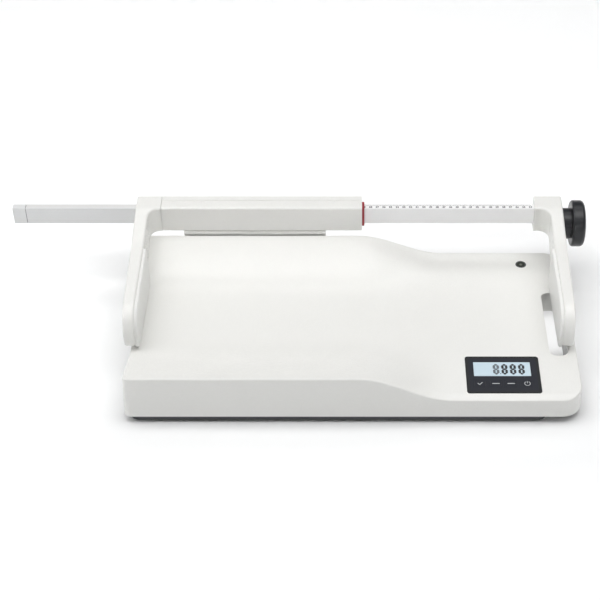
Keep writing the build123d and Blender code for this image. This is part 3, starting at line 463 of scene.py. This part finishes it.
# The panel leans towards the reader. Marks lie on its film and digits on its glass, both
# measured from the panel's middle.
panel_depth = 70 * mm
panel_chamfer = 0.3 * mm
deck_rise = 3 * mm
deck_depth = 81 * mm
panel_tilt = atan(deck_rise / deck_depth)
panel_top = panel_high.z - (panel_depth / 2 - panel_chamfer) * sin(panel_tilt)
panel_centre = Matrix.Translation((panel_x, panel_y, panel_top))
on_panel = panel_centre @ Matrix.Rotation(panel_tilt, 4, "X")
ink_depth = 0.03 * mm
window_x = -0.7 * mm
window_y = 10.2 * mm
glass_drop = 0.15 * mm
on_glass = on_panel @ Matrix.Translation((window_x, window_y, -glass_drop))


def ink(name, colour, light):
    """Printed or switched-on ink, a little uneven."""
    paint = Paint(name)
    spread = paint.noise(900)
    paint.vary("Base Color", paint.blend(spread, colour, light))
    paint.vary("Roughness", 0.4 + spread * 0.15)
    return paint


segment_ink = ink("segment_ink", rgb(0.010, 0.011, 0.016), rgb(0.015, 0.017, 0.023))
faint_ink = ink("faint_ink", rgb(0.10, 0.12, 0.14), rgb(0.13, 0.15, 0.17))
film_ink = ink("film_ink", rgb(0.44, 0.46, 0.48), rgb(0.52, 0.54, 0.55))

digit_width = 8.8 * mm
digit_height = 20.6 * mm
stroke = 3.5 * mm
segment_gap = 0.2 * mm


def segment(bm, start, end):
    """One segment of a digit, pointed at both ends, from start to end on the glass."""
    along = (end - start).normalized()
    across = Vector((-along.y, along.x)) * stroke / 2
    tip = along * stroke / 2
    first = start + along * segment_gap
    last = end - along * segment_gap
    points = (
        first, first + tip + across, last - tip + across,
        last, last - tip - across, first + tip - across,
    )
    stamp(bm, points, ink_depth, on_glass)


def eight(bm, x):
    """All seven segments of a digit whose middle is at x."""
    middle = Vector((x, digit_y))
    side = Vector((digit_width / 2 - stroke / 2, 0))
    top = Vector((0, digit_height / 2 - stroke / 2))
    for level in (middle + top, middle, middle - top):
        segment(bm, level - side, level + side)
    for below in (middle, middle - top):
        for edge in (below - side, below + side):
            segment(bm, edge, edge + top)


digit_y = -0.3 * mm
first_digit_x = -8.3 * mm
digit_pitch = 11.8 * mm
pale_digit = bmesh.new()
eight(pale_digit, first_digit_x)
piece("lcd_digit_pale", pale_digit, "platform", faint_ink)

dark_digits = bmesh.new()
for position in (1, 2, 3):
    eight(dark_digits, first_digit_x + position * digit_pitch)
point_x = first_digit_x + digit_pitch / 2
point_y = digit_y - digit_height / 2 + stroke / 2
point_half = 0.75 * mm
decimal_point = rectangle(point_x, point_y, point_half, point_half)
stamp(dark_digits, decimal_point, ink_depth, on_glass)
piece("lcd_digits", dark_digits, "platform", segment_ink)

key_y = -17.5 * mm
check_x = -32.9 * mm
check_mark = bmesh.new()
check_points = (
    (-3.6, 0.2), (-2.9, 1.0), (-0.8, -1.3), (3.0, 2.6), (3.7, 1.9), (-0.8, -2.9),
)
outline = [(check_x + x * mm, key_y + y * mm) for x, y in check_points]
stamp(check_mark, outline, ink_depth, on_panel)
piece("mark_confirm", check_mark, "key_confirm", film_ink)

hold_x = -11.1 * mm
mode_x = 10 * mm
dash_half = 4.4 * mm
dash_end = 0.75 * mm
for key_name, key_x in (("hold", hold_x), ("mode", mode_x)):
    dash = bmesh.new()
    outline = arc(key_x + dash_half, key_y, dash_end, -90, 90, 8)
    outline += arc(key_x - dash_half, key_y, dash_end, 90, 270, 8)
    stamp(dash, outline, ink_depth, on_panel)
    piece("mark_" + key_name, dash, "key_" + key_name, film_ink)

power_x = 32.4 * mm
power_outer = 4.3 * mm
power_inner = 3.3 * mm
power_mark = bmesh.new()
outline = arc(power_x, key_y, power_outer, 120, 420, 40)
outline += arc(power_x, key_y, power_inner, 420, 120, 40)
stamp(power_mark, outline, ink_depth, on_panel)
bar_half_width = 0.5 * mm
bar_half_height = 2 * mm
bar_rise = 2.6 * mm
power_bar = rectangle(power_x, key_y + bar_rise, bar_half_width, bar_half_height)
stamp(power_mark, power_bar, ink_depth, on_panel)
piece("mark_power", power_mark, "key_power", film_ink)

# ---- Spirit level -------------------------------------------------------------------
# A round vial of tinted liquid in a dark cup, which drops into the low deck near its
# back rim. The bubble rests against the clear lid, inside a printed ring.
made_of(dark_plastic, "level_cup")

vial_glass = Paint("vial_glass", Coat_Weight=1.0, Coat_Roughness=0.03, IOR=1.48)
vial_cloud = vial_glass.noise(160, 3)
vial_glass.vary(
    "Base Color", vial_glass.blend(vial_cloud, rgb(0.040, 0.044, 0.038), rgb(0.056, 0.060, 0.050))
)
vial_glass.vary("Roughness", 0.08 + vial_cloud * 0.08)
made_of(vial_glass, "level_vial")

vial_low, vial_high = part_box("level_vial")
vial_x = (vial_low.x + vial_high.x) / 2
vial_y = (vial_low.y + vial_high.y) / 2
on_vial = Matrix.Translation((vial_x, vial_y, vial_high.z))
level_ring = bmesh.new()
ring_outer = 3.1 * mm
ring_inner = 2.7 * mm
ring_steps = 48
weld_distance = 0.002 * mm
for i in range(ring_steps):
    start = 360 * i / ring_steps
    end = 360 * (i + 1) / ring_steps
    outline = arc(0, 0, ring_outer, start, end, 1) + arc(0, 0, ring_inner, end, start, 1)
    stamp(level_ring, outline, ink_depth, on_vial)
bmesh.ops.remove_doubles(level_ring, verts=level_ring.verts, dist=weld_distance)
piece("level_ring", level_ring, "platform", segment_ink)

bubble_paint = Paint("bubble_paint", Coat_Weight=1.0)
bubble_haze = bubble_paint.noise(700)
bubble_paint.vary(
    "Base Color", bubble_paint.blend(bubble_haze, rgb(0.14, 0.15, 0.125), rgb(0.18, 0.19, 0.16))
)
bubble_paint.vary("Roughness", 0.05 + bubble_haze * 0.06)
bubble = bmesh.new()
bubble_radius = 2.1 * mm
bubble_flat = 0.12
bmesh.ops.create_uvsphere(bubble, u_segments=32, v_segments=16, radius=bubble_radius)
bmesh.ops.scale(bubble, vec=(1, 1, bubble_flat), verts=bubble.verts)
bmesh.ops.transform(bubble, matrix=on_vial, verts=bubble.verts)
piece("level_bubble", bubble, "platform", bubble_paint, smooth=True)

# ---- Rod housing and bracket ----------------------------------------------------------
# Two white half shells stand on a bracket that is screwed to the back of the tray. Inside,
# plastic glides guide the rail, and a red ring at their end marks where it is read.
made_of(white_plastic, "housing_front", "housing_back", "rod_bracket")
made_of(steel, "bracket_screws")

ring_plastic = moulded(
    "ring_plastic", rgb(0.28, 0.013, 0.022), rgb(0.34, 0.018, 0.028),
    roughness=0.34, fineness=1500, depth=0.02 * mm,
)
made_of(ring_plastic, "reading_ring")
glide_plastic = moulded(
    "glide_plastic", rgb(0.70, 0.70, 0.66), rgb(0.75, 0.75, 0.71),
    roughness=0.42, fineness=1300, depth=0.02 * mm,
)
made_of(glide_plastic, "glide_left", "glide_right")

# ---- Rail, ruler and end cap ------------------------------------------------------------
# A hollow flat bar with a satin coat. Painted light and shade make the coat darker at its
# plain end and paler towards the ruler. A strip of film let into its top is white where the
# ruler is printed, and a plastic cap closes its left end.
rail_low, rail_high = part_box("rail")
rail_coat = Paint("rail_coat")
draw_lines = rail_coat.noise(260, 3, (0.02, 1, 1))
coat_cloud = rail_coat.noise(9)
# Painted light and shade: the coat is darker at its plain left end and paler towards the ruler.
plain_length = 200 * mm
painted_light_towards_ruler = rail_coat.ramp(
    rail_coat.axis("X"), rail_low.x + plain_length, rail_high.x - plain_length
)
painted_shade_plain_end = rail_coat.blend(draw_lines, rgb(0.70, 0.705, 0.705), rgb(0.74, 0.745, 0.745))
painted_light_ruler_end = rail_coat.blend(draw_lines, rgb(0.90, 0.90, 0.90), rgb(0.93, 0.93, 0.93))
rail_coat.vary("Base Color", rail_coat.blend(painted_light_towards_ruler, painted_shade_plain_end, painted_light_ruler_end))
rail_coat.vary("Roughness", 0.34 + draw_lines * 0.1 + coat_cloud * 0.05)
rail_coat.grain(draw_lines, 0.01 * mm)
made_of(rail_coat, "rail")

cap_plastic = moulded(
    "cap_plastic", rgb(0.705, 0.71, 0.71), rgb(0.735, 0.74, 0.74),
    roughness=0.42, fineness=1700, depth=0.02 * mm,
)
joint_x = rail_low.x - 0.8 * mm
joint_edge = 0.05 * mm
joint_black = rgb(0.02, 0.02, 0.02)
in_joint = cap_plastic.ramp(cap_plastic.axis("X"), joint_x - joint_edge, joint_x + joint_edge)
cap_plastic.vary("Base Color", cap_plastic.blend(in_joint, cap_plastic.colour, joint_black))
made_of(cap_plastic, "rail_end_cap")

ruler_film = moulded(
    "ruler_film", rgb(0.74, 0.74, 0.735), rgb(0.71, 0.71, 0.705),
    roughness=0.4, fineness=1700, depth=0.01 * mm,
)
# The rod reads the gap between the two pads, so its marks count back from zero_x.
strip_low, strip_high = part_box("ruler_strip")
ring_low, ring_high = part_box("reading_ring")
stops_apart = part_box("foot_pad")[0].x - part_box("head_pad")[1].x
zero_x = (ring_low.x + ring_high.x) / 2 + stops_apart
first_mm = 340
last_mm = 775
white_margin = 10 * mm
white_start = zero_x - last_mm * mm - white_margin
white_edge = 0.2 * mm
film_white = rgb(0.89, 0.89, 0.885)
printed = ruler_film.ramp(
    ruler_film.axis("X"), white_start - white_edge, white_start + white_edge
)
ruler_film.vary("Base Color", ruler_film.blend(printed, ruler_film.colour, film_white))
made_of(ruler_film, "ruler_strip")

on_strip = Matrix.Translation((0, 0, strip_high.z))
print_depth = 0.02 * mm
tick_half = 0.2 * mm
tick_back = strip_high.y - 0.1 * mm
ticks = bmesh.new()
for reading in range(first_mm, last_mm + 1):
    length = 1.6 * mm
    if reading % 5 == 0:
        length = 2.3 * mm
    if reading % 10 == 0:
        length = 3 * mm
    tick = rectangle(zero_x - reading * mm, tick_back - length / 2, tick_half, length / 2)
    stamp(ticks, tick, print_depth, on_strip)
piece("ruler_ticks", ticks, "slider", segment_ink)

# Each figure is traced once, and then copied along the strip.
number_size = 4.4 * mm
number_weight = 0.27 * mm
number_y = strip_low.y + 0.5 * mm
digit_step = 2.45 * mm
glyphs = {}
for digit in "0123456789":
    text = bpy.data.curves.new("glyph", "FONT")
    text.body = digit
    text.size = number_size
    text.extrude = print_depth / 2
    text.offset = number_weight
    text.resolution_u = 3
    holder = bpy.data.objects.new("glyph", text)
    scene.collection.objects.link(holder)
    bpy.context.view_layer.update()
    glyphs[digit] = bpy.data.meshes.new_from_object(
        holder.evaluated_get(bpy.context.evaluated_depsgraph_get())
    )
    bpy.data.objects.remove(holder)
numbers = bmesh.new()
cm = 10 * mm
for centimetres in range(first_mm // 10, last_mm // 10 + 1):
    x = zero_x - centimetres * cm
    for i, digit in enumerate(str(centimetres)):
        before = len(numbers.verts)
        numbers.from_mesh(glyphs[digit])
        numbers.verts.ensure_lookup_table()
        corner = (x + (i - 1) * digit_step, number_y, strip_high.z + print_depth / 2)
        bmesh.ops.translate(numbers, vec=corner, verts=numbers.verts[before:])
piece("ruler_numbers", numbers, "slider", segment_ink)

# ---- Arms and pads -----------------------------------------------------------------------
# The head stop is fixed to the housing and the foot stop to the rail. Each is a curved
# arm of the tray's white plastic, with a separate smooth pad on its inner face.
made_of(white_plastic, "head_arm", "foot_arm")

pad_plastic = moulded(
    "pad_plastic", rgb(0.83, 0.83, 0.81), rgb(0.815, 0.815, 0.795),
    roughness=0.35, fineness=1700, depth=0.02 * mm,
)
made_of(pad_plastic, "head_pad", "foot_pad")

# ---- Clamp knob ---------------------------------------------------------------------------
# A dark round knob of glass-filled nylon on a steel bolt. The bolt presses a brass shoe
# against the rail's end and so locks the foot stop.
knob_plastic = moulded(
    "knob_plastic", rgb(0.017, 0.018, 0.021), rgb(0.024, 0.025, 0.028),
    roughness=0.3, fineness=1100, depth=0.03 * mm, Specular_IOR_Level=0.4,
)
made_of(knob_plastic, "clamp_knob")
made_of(steel, "knob_bolt")

brass = Paint("brass", Metallic=1.0)
turn_lines = brass.noise(380, 3, (1, 0.08, 0.08))
brass.vary("Base Color", brass.blend(turn_lines, rgb(0.72, 0.52, 0.22), rgb(0.82, 0.62, 0.30)))
brass.vary("Roughness", 0.28 + turn_lines * 0.16)
brass.grain(turn_lines, 0.02 * mm)
made_of(brass, "clamp_shoe")
